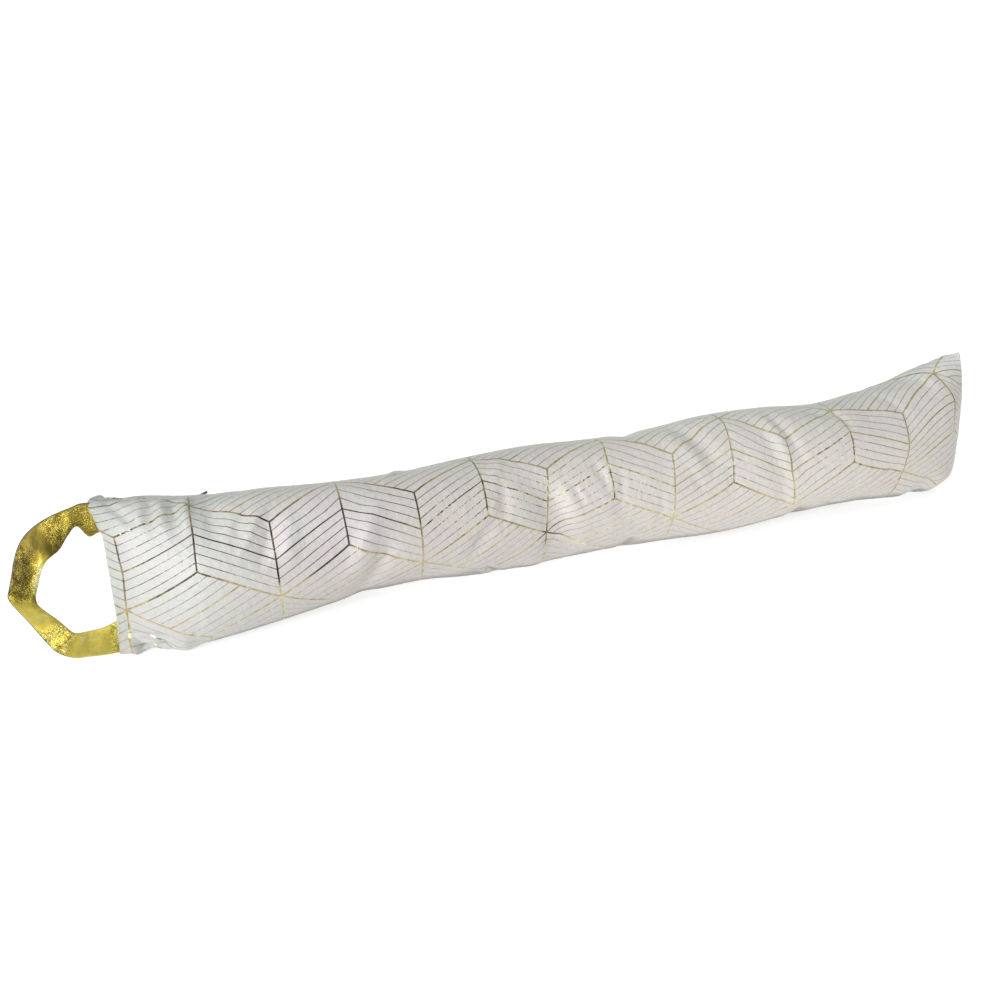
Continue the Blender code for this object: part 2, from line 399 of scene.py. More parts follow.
def white_satin(g, s, t, place):
    """The white cloth's colour, cooler at the left end and along the top, with tints and streaks, and
    with painted light and painted shade.
    """
    across, up, _ = g.parts(place)
    cool = g.most(g.step(s, 1.0, 2.6, 1.0, 0.0), g.step(t, 0.2, 0.7))
    white = g.mix(cool, WARM_WHITE, COOL_WHITE)
    white = g.mix(inside(g, s, t, VIOLET_SPOT), white, VIOLET_WHITE)
    white = g.tinted(white, g.ramp(g.noise(place, 30.0, 3.0, 0.6), CLOTH_TINTS))
    # Painted light and shade along the tube
    white = g.tinted(white, g.ramp(g.product(s, 1 / PAINTED_LIGHT_COLUMNS), PAINTED_LIGHT_ALONG))
    # Painted shade, darker towards the underside
    white = g.tinted(white, g.ramp(g.step(t, -2.0, 0.0), PAINTED_SHADE_ROUND))
    # Painted shade at the left edge, with a faint green tint
    white = g.tinted(white, g.ramp(g.step(s, -0.17, 0.25), PAINTED_EDGE_SHADE))
    # Painted light and shade in patches
    patches = [g.product(inside(g, s, t, patch), patch.light) for patch in PAINTED_LIGHT_PATCHES]
    white = g.tinted(white, g.total(1.0, *patches))
    white = g.tinted(white, g.opposite(underside_shade(g, s, t)))
    mottle = g.noise(place, 240.0, 3.0, 0.65)
    streaks = g.noise(g.vector(g.product(across, 7.0), up), 150.0)
    return g.tinted(white, g.total(0.985, g.swing(mottle, 0.30), g.swing(streaks, 0.16)))


def printed_cloth():
    g = Graph("printed_cloth_look")
    s, t, _ = g.parts(g.node("ShaderNodeUVMap", uv_map="cloth").outputs[0])
    thick, thin = printed_lines(g, s, t)
    across, up = g.product(s, PRINT_PITCH), g.product(t, PRINT_RISE)
    place = g.vector(across, up)
    specks = g.noise(place, 620.0, 2.0, 0.6)
    worn = g.most(*[inside(g, s, t, spot) for spot in WORN_SPOTS])
    thin_foil = foil_left(g, thin, worn, THIN_WEAR, specks)
    thick_foil = foil_left(g, thick, worn, THICK_WEAR, specks)
    foil = g.most(thin_foil, thick_foil)
    weave = g.product(
        g.math("SINE", g.product(across, 2 * math.pi / WEAVE_ALONG)),
        g.math("SINE", g.product(up, 2 * math.pi / WEAVE_ROUND)),
    )
    normal = g.bump(g.noise(place, 190.0, 3.0, 0.55), 1.0 * MM)
    normal = g.bump(weave, 0.02 * MM, 0.5, normal)
    g.set(
        Base_Color=g.mix(foil, white_satin(g, s, t, place), foil_colour(g, s, t, place, worn, thick)),
        Metallic=g.product(foil, 0.6),
        Roughness=g.blend(foil, 0.48, 0.38),
        Normal=normal,
        Sheen_Weight=0.08,
        Sheen_Roughness=0.4,
    )
    return g.material


# Gold foil of the strap, by how light its painted reflection is, up to a painted highlight, with its
# copper spots' tint and the colour of its dark outer edge
GOLD_FOIL = (
    (0, (0.03, 0.023, 0.005)),
    (0.22, (0.1, 0.078, 0.01)),
    (0.42, (0.195, 0.152, 0.022)),
    (0.6, (0.29, 0.235, 0.036)),
    (0.78, (0.41, 0.34, 0.058)),
    (0.92, (0.54, 0.455, 0.09)),
    (1, (0.78, 0.74, 0.42)),
)
NO_TINT = (1.0, 1.0, 1.0, 1.0)
COPPER_TINT = (1.25, 0.85, 0.55, 1.0)
DARK_OUTER_EDGE = (0.07, 0.06, 0.045, 1.0)
STRAP_LOOKS = ("crackle", "light", "rim")


def gold_cloth():
    """Gold foil cloth. Its mesh says how broken the foil is, how light its painted reflection is, and
    where its dark outer edge is.
    """
    g = Graph("gold_cloth_look")
    place = g.node("ShaderNodeTexCoord").outputs["Object"]
    crackle, light, rim = [
        g.node("ShaderNodeAttribute", attribute_name=name).outputs["Fac"] for name in STRAP_LOOKS
    ]
    patches = g.noise(place, 90.0, 3.0, 0.6)
    crackle = g.step(g.total(crackle, g.product(patches, 0.8)), 0.55, 1.25)
    fine = g.noise(place, 950.0, 3.0, 0.7)
    broad = g.noise(place, 170.0, 3.0, 0.6)
    # Painted glints, in broad patches and, where the foil is crackled, in fine specks
    light = g.total(
        light,
        g.swing(broad, g.blend(crackle, 0.25, 0.7)),
        g.swing(fine, g.blend(crackle, 0.2, 2.2)),
    )
    copper = g.step(g.noise(place, 210.0), 0.63, 0.70)
    tint = g.mix(g.product(copper, 0.6), NO_TINT, COPPER_TINT)
    g.set(
        Base_Color=g.mix(rim, g.tinted(g.ramp(light, GOLD_FOIL), tint), DARK_OUTER_EDGE),
        Metallic=g.blend(rim, 0.85, 0.0),
        Roughness=g.blend(crackle, 0.42, 0.36),
        Normal=g.bump(g.total(g.product(broad, 0.5), g.product(fine, crackle)), 0.35 * MM),
    )
    return g.material


BLACK_ENAMEL = ((0.3, (0.010, 0.010, 0.011)), (0.7, (0.030, 0.029, 0.028)))


def black_enamel():
    g = Graph("black_enamel_look")
    place = g.node("ShaderNodeTexCoord").outputs["Object"]
    grain = g.noise(place, 900.0, 3.0)
    g.set(
        Base_Color=g.ramp(grain, BLACK_ENAMEL),
        Roughness=g.step(grain, 0.3, 0.7, 0.30, 0.45),
        Normal=g.bump(grain, 0.04 * MM),
    )
    return g.material


# Driving sizes of the cover, as in the CAD: its cloth, how its ends close and are tucked in, and where
# its left end seam lies
LENGTH = 0.900
GIRTH = 0.388
LEFT_CLOSING = 0.085
RIGHT_CLOSING = 0.075
CLOSING_POWER = 0.6
PRESSED_SHARE = 0.08
SEAM_HALF = 0.0015
LOWER_TUCK = 0.024
UPPER_TUCK = 0.006
TUCK_REACH = 0.100
LOWER_TUCK_FROM = 0.55
UPPER_TUCK_FROM = 0.30
ORIGIN_ALONG = 0.4050
ORIGIN_ASIDE = 0.0019

# Sections of the open tube, as in the CAD. Each is an oval, with half its taller axis and how far back
# its middle lies, and that axis rises towards the back at the lean's angle in degrees.
SECTIONS = table("along half_height aside lean", (
    (0, 0.075, -0.003, 60),
    (0.04, 0.073, -0.005, 56),
    (0.08, 0.0685, -0.006, 52),
    (0.145, 0.063, -0.001, 50),
    (0.21, 0.057, 0.004, 50),
    (0.275, 0.0545, 0.007, 50),
    (0.34, 0.059, 0.004, 50),
    (0.41, 0.06, 0.006, 50),
    (0.475, 0.058, 0.004, 52),
    (0.54, 0.059, 0.002, 53),
    (0.605, 0.063, 0.002, 55),
    (0.675, 0.061, 0.005, 56),
    (0.74, 0.057, 0.006, 58),
    (0.805, 0.061, 0.006, 64),
    (0.85, 0.0685, 0.002, 71),
    (0.9, 0.081, -0.014, 79),
))

# Where the print's middle row lies on each of its columns: degrees round the section from its
# front. Then how far the print is drawn along the cloth and raised up it there, in columns and rows,
# at each of MOVED_ROWS.
MOVED_ROWS = (1.0, 0.5, 0.0, -0.5, -1.0)
UNMOVED = (0, 0, 0, 0, 0)
PRINT_PLACES = table("column turn drawn raised", (
    (-0.2, 64, (0, 0, 0, 0.02, -0.02)),
    (0, 66, (0, 0, -0.01, 0.02, -0.02), (0, 0, 0, 0.05, 0.04)),
    (1, 68, (-0.01, -0.01, -0.01, -0.04, -0.02), (-0.05, -0.05, 0, 0, 0)),
    (2, 64.3, (0, 0, 0, 0, -0.01), (0.06, 0.06, 0, -0.02, -0.04)),
    (3, 60.7, (0.01, 0.01, 0, 0, 0), (0.19, 0.19, 0, 0, -0.05)),
    (4, 62.9, (0.03, 0.03, 0.04, 0.03, 0.02), (0.1, 0.1, 0, -0.04, -0.07)),
    (5, 65.1, (0.04, 0.04, 0.05, 0.02, 0), (0.02, 0.02, 0, -0.01, 0)),
    (6, 65.2, (0.05, 0.05, 0.06, -0.03, -0.13), (0.08, 0.08, 0, 0.02, 0.06)),
    (7, 60.8, (0.09, 0.09, -0.02, -0.04, -0.1), (0.14, 0.14, 0, -0.03, 0.04)),
    (8, 60.9, (0.08, 0.08, 0.03, -0.08, -0.11), (0.15, 0.15, 0, 0.01, 0.02)),
    (9, 56, (0.11, 0.11, 0, -0.06, -0.03), (0.16, 0.16, 0, 0, -0.04)),
    (10, 54.8, (0.06, 0.06, -0.04, -0.04, 0.06), (0.1, 0.1, 0, -0.01, -0.1)),
    (11, 51.2, (0.06, 0.06, 0.09, 0.05, 0.05), (0.03, 0.03, 0, 0.03, 0)),
    (12, 59.9, (0.1, 0.1, 0.18, 0.14, 0.02), (0.02, 0.02, -0.02, -0.02, 0.08)),
    (13, 68, (0.3, -0.03, 0.15, 0.12, 0.05)),
    (13.6, 70, (0.3, -0.03, 0.17, 0.12, 0.05), (-0.19, -0.19, -0.05, 0.1, 0.1)),
), defaults=(UNMOVED,))

# Grid of the cloth: ring spacing along it, closer at the ends, and columns round it. Then how finely
# the curves are worked out.
RING_SPACING = 4.0 * MM
END_SPACING = 1.2 * MM
SPACING_GROWTH = 0.4 * MM
COLUMNS = 96
CELL = GIRTH / COLUMNS
TUBE_SAMPLES = 720
END_STEP = 0.5 * MM

# Ends of the cover. Its two layers are sewn along one line, down from a top tip. The long seam
# runs behind the top edge and reaches the right end at its tip.
LEFT_TIP_COLUMN = 11
LEFT_TIP_U = 54.5 * MM
RIGHT_TIP_U = 63.0 * MM
SEAM_U_LEFT = LEFT_TIP_U + LEFT_TIP_COLUMN * CELL
SEAM_U_RIGHT = RIGHT_TIP_U

# How the ends stand: a point (y, z) at the top, how many degrees they rise towards the back, how far
# down that slant the floor is, and the radius and turn of the foot, which goes under on the floor. The
# left end's top corner curls to the back, from a little below its point.
LEFT_END = dict(
    top=(32.6 * MM, 130 * MM),
    lean=60,
    front=150 * MM,
    foot=(5 * MM, 120),
    curl_from=4.5 * MM,
    curl=(8 * MM, 172),
)
RIGHT_END = dict(top=(-0.4 * MM, 159 * MM), lean=79, front=162 * MM, foot=(12 * MM, 101))

# Folds of the cloth, by the print's columns and rows. The angle is the fold's direction in degrees,
# 0 along the tube and 90 up round it. The length and width are half sizes in millimetres, and a
# trough's height is negative. Bend is how far its middle bows to the right, and sharp is how wide its
# side that faces left is, as a share of the other side's width.
FOLD_CLEAR = 0.012
FOLD_TAPER = 1.6
CLOTH_FOLDS = table("column row angle length width height bend sharp", (
    # Outline of the top at the left end, then of the underside and the top further along
    (0.4, 0.85, 0, 30, 15, -3.6),
    (0.62, -1.7, 90, 30, 10.5, 3.8),
    (5.75, -1.6, 90, 30, 12, 2.2),
    (13, -1.6, 90, 30, 11, 3),
    (12.55, 0.9, 90, 30, 15, -2.6),
    (13.2, 0.8, 60, 16, 8, 2.6),
    (7.62, 0.95, 90, 30, 12, -3.2),
    (3.15, -1.6, 100, 40, 15, -3),
    (5.1, -1.65, 120, 20, 5, -3),
    (7.3, -1.55, 90, 20, 8, -3),
    (10.3, -1.4, 95, 22, 9, -3),
    # Pinched lower left corner
    (-0.02, -1.42, 101, 12, 3.2, 3.4),
    (0.05, -1.46, 108, 10, 2.8, -3.4),
    (0.18, -1.32, 168, 13, 2.8, -3.2),
    (0.24, -1.41, 162, 16, 3.8, 4.2),
    (0.38, -1.47, 113, 10, 3, -3),
    (0.19, -1.55, 10, 14, 4.8, -7.5),
    (0.46, -1.56, 20, 16, 5, 2.2),
    (0.22, -1.74, 90, 20, 7, -2.6),
    (0, -1.72, 90, 20, 6, 3.6),
    # Gathers down from the top of the left end
    (0.11, 0.38, 122, 14, 4, -3),
    (0.34, 0.32, 86, 16, 4.2, 2),
    (0.48, 0.34, 85, 15, 4, -2),
    (0.61, 0.32, 88, 18, 4.5, 2.2),
    (0.78, 0.3, 90, 19, 4.8, -2.6),
    (0.94, 0.34, 88, 20, 5, 3.6),
    (1.27, 0.16, 86, 24, 9.5, -4.2),
    (1.6, 0.02, 64, 18, 4.5, -1.8),
    (1.76, -0.06, 60, 24, 4.5, 3.3),
    (1.93, -0.26, 66, 22, 6, -3.6),
    (2.22, -0.3, 78, 22, 8, 3.2),
    # Slanting folds between the second and fourth columns
    (3.18, -0.5, 62, 34, 11.5, 4.6, 3, 0.7),
    (3.38, -0.98, 60, 28, 9.5, -4.2, 0, 0.7),
    (3.85, 0.62, 60, 22, 5.5, 1.8),
    # Round the star at the middle
    (4.92, -0.82, 50, 20, 6.5, -4.2),
    (5.24, -0.42, 80, 20, 7, -4, 3, 1),
    (5.35, 0.18, 70, 20, 7, 1.8),
    (6.02, -0.68, 106, 40, 21, -8.2, 6, 0.62),
    (6, -1.16, 30, 14, 6, -2.2),
    (6.41, -0.47, 109, 14, 5.5, -2.2, 2, 0.5),
    (6.81, -0.18, 103, 18, 6.5, -2.6, 3, 0.5),
    (7.12, -0.34, 85, 16, 5.5, -1.6, 0, 0.5),
    (7.72, -0.77, 91, 16, 5.5, -1.5, 0, 0.5),
    # Left of the tenth column
    (8.22, 0.1, 115, 24, 9, 1.8),
    (8.5, 0.2, 112, 30, 11, -4.4, 2),
    (8.3, -0.42, 120, 14, 6, -1.2, 0, 0.7),
    (9.67, -0.32, 102, 50, 12, -3.2, 6, 0.7),
    (9.8, 0.04, 100, 26, 5.5, 1.2, 3),
    (10.01, 0.04, 102, 30, 6.5, -3.2, 4, 0.8),
    (10.85, 0.46, 168, 20, 7, -2.2),
    (11.1, 0.3, 104, 18, 5.5, -2.6, 2, 0.5),
    (11.66, -0.92, 27, 28, 5.5, -2.8),
    # Gathers of the right end
    (12.11, 0.2, 114, 24, 5.5, -1.5, 0, 0.7),
    (12.77, 0.42, 102, 12, 4.5, -1.4),
    (12.91, 0.36, 110, 14, 4, 1.2),
), defaults=(0, 1))

# How far the left end's edge stands out past its seam line, by the distance down from FLARE_TOP below
# its tip. Then how far its top corner drops, by the distance down from its tip, from a height where
# that starts to one where it is whole. Both die out along the tube.
FLARE_DOWN = (-0.0195, -0.01, -0.004, 0, 0.006, 0.012, 0.033, 0.038, 0.11, 0.15)
FLARE_OUT = (-0.004, 0.0012, 0.0072, 0.01, 0.0111, 0.0095, 0.0045, 0.0025, 0.0033, 0.0065)
FLARE_TOP = 0.0195
CORNER_DOWN = (-0.012, -0.003, 0.01, 0.016)
CORNER_DROP = (0.0108, 0.0072, 0.0078, 0.0062)
CORNER_FROM, CORNER_TO = 0.112, 0.132
CORNER_POWER = 1.5
FLARE_REACH = 0.045
CORNER_REACH = 0.060

# How far the right end's edge bulges, by its height
BULGE_HEIGHTS = (0, 0.007, 0.014, 0.03, 0.07, 0.125, 0.14, 0.15, 0.159)
BULGE_OUT = (0.007, 0.005, 0.0022, 0.003, 0.0042, 0.0038, 0.0026, 0.0014, 0.0008)
BULGE_REACH = 0.060


def smooth_table(places, values, at):
    """Values at any places, on a smooth curve through a table's rows."""
    places, values, at = [np.asarray(given, float) for given in (places, values, at)]
    last = len(places) - 1
    before = np.maximum(np.arange(last + 1) - 1, 0)
    after = np.minimum(np.arange(last + 1) + 1, last)
    slope = (values[after] - values[before]) / (places[after] - places[before])
    row = np.clip(np.searchsorted(places, at, side="right") - 1, 0, last - 1)
    span = places[row + 1] - places[row]
    share = (at - places[row]) / span
    return (
        values[row] * (1 + 2 * share) * (1 - share) ** 2
        + values[row + 1] * share**2 * (3 - 2 * share)
        + span * slope[row] * share * (1 - share) ** 2
        + span * slope[row + 1] * share**2 * (share - 1)
    )


def heading_of(angle):
    """The direction at an angle in degrees."""
    return np.array((math.cos(math.radians(angle)), math.sin(math.radians(angle))))


def running_total(steps):
    return np.concatenate(([0], np.cumsum(steps)))


def column_of(rows, name):
    return [getattr(row, name) for row in rows]


def section_values(name, along):
    return smooth_table(column_of(SECTIONS, "along"), column_of(SECTIONS, name), along)


def fade_in(distance, reach):
    """0 at no distance and 1 from the reach on."""
    return np.clip(distance / reach, 0, 1)


def fade_out(distance, reach):
    """1 at no distance and 0 from the reach on."""
    return np.clip(1 - distance / reach, 0, 1)


def closing(distance, length):
    """How far open the tube is at a distance from an end that closes over a length."""
    return (1 - (1 - fade_in(distance, length)) ** 2) ** CLOSING_POWER


def ring_places():
    """Distances along the cover of the grid's rings."""
    steps = np.arange(END_SPACING, RING_SPACING, SPACING_GROWTH)
    ends = running_total(steps)
    middle = LENGTH - 2 * ends[-1]
    count = round(middle / RING_SPACING)
    inner = ends[-1] + middle * np.arange(1, count) / count
    return np.concatenate((ends, inner, (LENGTH - ends)[::-1]))


def tube_ring(along, u):
    """Points (y, z) round the open tube at one distance along it, at distances u round the cloth."""
    turn = np.linspace(-math.pi / 2, 3 * math.pi / 2, TUBE_SAMPLES + 1)
    tall = section_values("half_height", along)
    c, s = heading_of(section_values("lean", along))
    deep = math.sqrt(2 * (GIRTH / (2 * math.pi)) ** 2 - tall**2)
    centre = math.hypot(tall * s, deep * c) - PRESSED_SHARE * deep
    up, front = tall * np.sin(turn), deep * np.cos(turn)
    away, rise = up * c - front * s, up * s + front * c
    y = section_values("aside", along) - ORIGIN_ASIDE + away
    z = np.maximum(centre + rise, 0)
    arc = running_total(np.hypot(np.diff(y), np.diff(z)))
    columns, turns = column_of(PRINT_PLACES, "column"), column_of(PRINT_PLACES, "turn")
    middle_turn = smooth_table(columns, turns, along / PRINT_PITCH + PRINT_START)
    middle = np.interp(math.radians(middle_turn), np.unwrap(np.arctan2(rise, -away)), arc)
    where = np.mod(middle + u * (arc[-1] / GIRTH), arc[-1])
    return np.stack((np.interp(where, arc, y), np.interp(where, arc, z)), axis=-1)


def end_curve(start, pieces, tip_u, u):
    """Points (y, z) of an end's two sewn layers. start is the top tip and its first heading, and
    pieces are (length, turning in degrees) down the front from there."""
    y, z, heading = start
    heading = math.radians(heading)
    path, headings = [(y, z)], [heading]
    for length, turning in pieces:
        count = max(round(length / END_STEP), 1)
        for _ in range(count):
            heading += math.radians(turning) / count / 2
            y += length / count * math.cos(heading)
            z += length / count * math.sin(heading)
            heading += math.radians(turning) / count / 2
            path.append((y, z))
            headings.append(heading)
    path, headings = np.array(path), np.array(headings)
    measured = running_total(np.hypot(*np.diff(path, axis=0).T))
    measured *= GIRTH / 2 / measured[-1]
    down = np.mod(tip_u - u, GIRTH)
    front = down <= GIRTH / 2 + 1e-9
    down = np.where(front, down, GIRTH - down)
    at = np.stack([np.interp(down, measured, path[:, k]) for k in (0, 1)], axis=-1)
    turned = np.interp(down, measured, headings)
    from_tip = np.minimum(down, GIRTH / 2 - down)
    offset = SEAM_HALF * np.sqrt(fade_in(from_tip, SEAM_HALF))
    offset = np.where(front, offset, -offset)
    normal = np.stack((np.sin(turned), -np.cos(turned)), axis=-1)
    made = at + offset[..., None] * normal
    made[..., 1] = np.maximum(made[..., 1], 0)
    return made


def end_points(tip_u, u, top, lean, front, foot, curl_from=0, curl=(0, 0)):
    """Points (y, z) of an end from its sizes. A curl is walked backwards from where it starts."""
    foot_length, curl_length = [radius * math.radians(turn) for radius, turn in (foot, curl)]
    straight = front - curl_from - foot[0] * math.tan(math.radians(foot[1] / 2))
    flap = GIRTH / 2 - curl_length - straight - foot_length
    start = lean - 180 - curl[1]
    tip = np.array(top) - curl_from * heading_of(lean)
    tip += curl[0] * (heading_of(lean - 90) + heading_of(start - 90))
    pieces = ((curl_length, curl[1]), (straight, 0), (foot_length, foot[1]), (flap, 0))
    return end_curve((*tip, start), pieces, tip_u, u)


def left_edge_moves(along, u, height):
    """How far the left end's edge stands out to the left, and how far its top corner drops."""
    from_tip = np.abs(np.mod(LEFT_TIP_U - u + GIRTH / 2, GIRTH) - GIRTH / 2)
    flare = np.interp(from_tip - FLARE_TOP, FLARE_DOWN, FLARE_OUT) * fade_out(along, FLARE_REACH) ** 2
    corner = fade_in(height - CORNER_FROM, CORNER_TO - CORNER_FROM)
    drop = np.interp(LEFT_TIP_U - u, CORNER_DOWN, CORNER_DROP)
    return flare, drop * corner**CORNER_POWER * fade_out(along, CORNER_REACH) ** CORNER_POWER


def right_edge_moves(along, height):
    """How far the right end's edge is tucked in at its foot and top, and how far it bulges out."""
    from_end = LENGTH - along
    tall = section_values("half_height", along)
    lean = np.radians(section_values("lean", along))
    rise = np.clip(height / (tall * np.sin(lean)) - 1, -1, 1)
    lower = fade_in(-rise - LOWER_TUCK_FROM, 1 - LOWER_TUCK_FROM) ** 2
    upper = fade_in(rise - UPPER_TUCK_FROM, 1 - UPPER_TUCK_FROM) ** 2
    tuck = fade_out(from_end, TUCK_REACH) ** 2 * (LOWER_TUCK * lower + UPPER_TUCK * upper)
    bulge = np.interp(height, BULGE_HEIGHTS, BULGE_OUT) * fade_out(from_end, BULGE_REACH) ** 2
    return tuck, bulge


def cover_grid():
    """The cloth without folds: points of rings by columns, with each point's along and u."""
    rings = ring_places()
    down = np.arange(COLUMNS) * CELL
    seam_u = SEAM_U_LEFT + (SEAM_U_RIGHT - SEAM_U_LEFT) * rings / LENGTH
    along = np.repeat(rings[:, None], COLUMNS, axis=1)
    u = seam_u[:, None] - down
    tube = np.array([tube_ring(a, row) for a, row in zip(rings, u)])
    left = end_points(LEFT_TIP_U, SEAM_U_LEFT - down, **LEFT_END)
    right = end_points(RIGHT_TIP_U, SEAM_U_RIGHT - down, **RIGHT_END)
    flat = np.where(along[..., None] < LENGTH / 2, left, right)
    opened = (closing(rings, LEFT_CLOSING) * closing(LENGTH - rings, RIGHT_CLOSING))[:, None, None]
    y, z = np.moveaxis(flat * (1 - opened) + tube * opened, -1, 0)
    flare, drop = left_edge_moves(along, u, z)
    z = z - drop
    tuck, bulge = right_edge_moves(along, z)
    x = along - ORIGIN_ALONG - flare - tuck + bulge
    return np.stack((x, y, z), axis=-1), along, u


def finer(values, periodic_step=0):
    """Twice as many rings and columns, on smooth curves. Columns close on themselves, with
    periodic_step added for each time round, and rings don't."""

    def between(a, b, c, d):
        return (9 * (b + c) - (a + d)) / 16

    before, after, later = [np.roll(values, shift, axis=1) for shift in (1, -1, -2)]
    before[:, 0] -= periodic_step
    after[:, -1] += periodic_step
    later[:, -2:] += periodic_step
    wide = np.empty((values.shape[0], values.shape[1] * 2) + values.shape[2:])
    wide[:, 0::2] = values
    wide[:, 1::2] = between(before, values, after, later)
    first, last = 2 * wide[:1] - wide[1:2], 2 * wide[-1:] - wide[-2:-1]
    padded = np.concatenate((first, wide, last))
    tall = np.empty((2 * wide.shape[0] - 1,) + wide.shape[1:])
    tall[0::2] = wide
    tall[1::2] = between(padded[:-3], padded[1:-2], padded[2:-1], padded[3:])
    return tall


def grid_normals(points):
    """Outward normals of a grid whose columns close on themselves."""
    along = np.gradient(points, axis=0)
    round_it = np.roll(points, -1, axis=1) - np.roll(points, 1, axis=1)
    normal = np.cross(round_it, along)
    length = np.linalg.norm(normal, axis=-1, keepdims=True)
    return normal / np.maximum(length, 1e-12)


def clear_of_ends(along):
    """1 along the tube and 0 at its ends."""
    return fade_in(along, FOLD_CLEAR) * fade_in(LENGTH - along, FOLD_CLEAR)


def fold_heights(along, u):
    """How far the listed folds move the cloth out."""
    made = np.zeros_like(along)
    for fold in CLOTH_FOLDS:
        length, width, height, bend = [size * MM for size in fold[3:7]]
        x = along - (fold.column - PRINT_START) * PRINT_PITCH
        y = np.mod(u - fold.row * PRINT_RISE + GIRTH / 2, GIRTH) - GIRTH / 2
        c, s = heading_of(fold.angle)
        reach = (c * x + s * y) / (FOLD_TAPER * length)
        across = c * y - s * x + bend * (1 - reach**2)
        side = np.where(across * height > 0, width * fold.sharp, width)
        made += height * fade_out(reach**2, 1) ** 2 * np.exp(-((across / side) ** 2))
    return made * clear_of_ends(along)


def smooth_noise(along, u, size, seed):
    """Smooth noise of about -1 to 1 over the cloth, with lumps of the given size."""
    places = np.stack((along / size, u / size), axis=-1).reshape(-1, 2).tolist()
    values = [noise.noise(Vector((x, y, seed))) for x, y in places]
    return np.array(values).reshape(along.shape)


# Fine crumples, longer round the tube, with softer lumps between them. They are stronger in patches
# given by the print's columns and rows, with half sizes.
CRUMPLE_SIZE = 6.0 * MM
LUMP_SIZE = 13.2 * MM
CRUMPLE_STRETCH = 1.7
CRUMPLE_HEIGHT = 0.10 * MM
CREASE_SEED, LUMP_SEED = 5.1, 9.4
CRUMPLE_PATCHES = table("column row wide tall amount", (
    (0.4, 0.4, 0.6, 0.5, 2),
    (0.4, -1.35, 0.6, 0.4, 2.5),
    (1.8, 0, 0.5, 0.5, 1.5),
    (5.7, -0.3, 1.6, 0.7, 3),
    (8.5, 0.1, 0.6, 0.6, 2),
    (10.3, -0.1, 1.2, 0.6, 3),
    (13.3, 0.5, 0.6, 0.8, 2),
))


def crumple_heights(along, u):
    """How far fine crumples, which run round the tube, move the cloth out."""
    column, row = along / PRINT_PITCH + PRINT_START, u / PRINT_RISE
    amount = np.ones_like(along)
    for patch in CRUMPLE_PATCHES:
        away = ((column - patch.column) / patch.wide) ** 2 + ((row - patch.row) / patch.tall) ** 2
        amount += patch.amount * np.exp(-away)
    creases = smooth_noise(along, u / CRUMPLE_STRETCH, CRUMPLE_SIZE, CREASE_SEED)
    lumps = smooth_noise(along, u / CRUMPLE_STRETCH, LUMP_SIZE, LUMP_SEED)
    return CRUMPLE_HEIGHT * amount * (1.0 - 3.0 * np.abs(creases) + 2.0 * lumps) * clear_of_ends(along)


def smoothed(values, rounds):
    """A grid's values, each shared with its neighbours for some rounds. Its end rings stay."""
    for _ in range(rounds):
        beside = (np.roll(values, 1, axis=1) + np.roll(values, -1, axis=1)) / 2
        values = (values + beside) / 2
        inner = (values[:-2] + values[2:]) / 4 + values[1:-1] / 2
        values = np.concatenate((values[:1], inner, values[-1:]))
    return values


# Cloth simulation. Only a share of its creases is kept, by the place along the cloth, and none round
# the zip's glider.
SIMULATION_FRAMES = 24
SPARE_CLOTH = 0.03
CLOTH_SETTINGS = dict(
    quality=6,
    mass=0.2,
    tension_stiffness=20,
    compression_stiffness=20,
    shear_stiffness=8,
    bending_stiffness=0.15,
    air_damping=2,
    vertex_group_mass="pinned",
    use_pressure=True,
    uniform_pressure_force=2,
    shrink_min=-SPARE_CLOTH,
)
MOST_CREASE = 5.0 * MM
FINE_ROUNDS = 2
CREASE_ROUNDS = 30
RIDGE_RINGS = 31
CREASE_PLACES = (0, 0.1, 0.3, 0.45, 0.75, 0.85, 0.9)
CREASE_SHARES = (0, 0.6, 0.9, 0.9, 0.9, 0.6, 0)
ZIP_ALONG = 0.080
ZIP_CLEAR = 0.020
ZIP_BLEND = 0.030


def averaged_along(values, count):
    """A grid's values, averaged along each column over a count of rings."""
    half = count // 2
    before, after = np.repeat(values[:1], half, axis=0), np.repeat(values[-1:], half, axis=0)
    padded = np.concatenate((before, values, after))
    sums = np.cumsum(np.concatenate((np.zeros_like(padded[:1]), padded)), axis=0)
    return (sums[count:] - sums[:-count]) / count


def crease_share(along):
    """How much of the creases is kept at each of the grid's points."""
    columns = along.shape[1]
    round_it = np.minimum(np.arange(columns), columns - np.arange(columns)) * GIRTH / columns
    from_zip = np.hypot(along - ZIP_ALONG, round_it)
    return np.interp(along, CREASE_PLACES, CREASE_SHARES) * fade_in(from_zip - ZIP_CLEAR, ZIP_BLEND)


def simulated_moves(points):
    """How far a short cloth simulation moves each point. It starts from the cover's shape with a little
    more cloth than that needs, which creases."""
    rings, columns = points.shape[:2]
    index = np.arange(rings * columns).reshape(rings, columns)
    mesh = bpy.data.meshes.new("simulated")
    mesh.from_pydata(points.reshape(-1, 3), [], tube_faces(index).tolist())
    cloth = new_object("simulated", mesh)
    pinned = cloth.vertex_groups.new(name="pinned")
    pinned.add(index[0].tolist() + index[-1].tolist(), 1.0, "REPLACE")
    modifier = cloth.modifiers.new("cloth", "CLOTH")
    for name, value in CLOTH_SETTINGS.items():
        setattr(modifier.settings, name, value)
    modifier.settings.effector_weights.gravity = 0
    modifier.collision_settings.use_collision = False
    scene = bpy.context.scene
    for number in range(1, SIMULATION_FRAMES + 1):
        scene.frame_set(number)
    shown = cloth.evaluated_get(bpy.context.evaluated_depsgraph_get())
    made = np.empty(rings * columns * 3)
    shown.data.vertices.foreach_get("co", made)
    bpy.data.objects.remove(cloth)
    scene.frame_set(1)
    return made.reshape(points.shape) - points


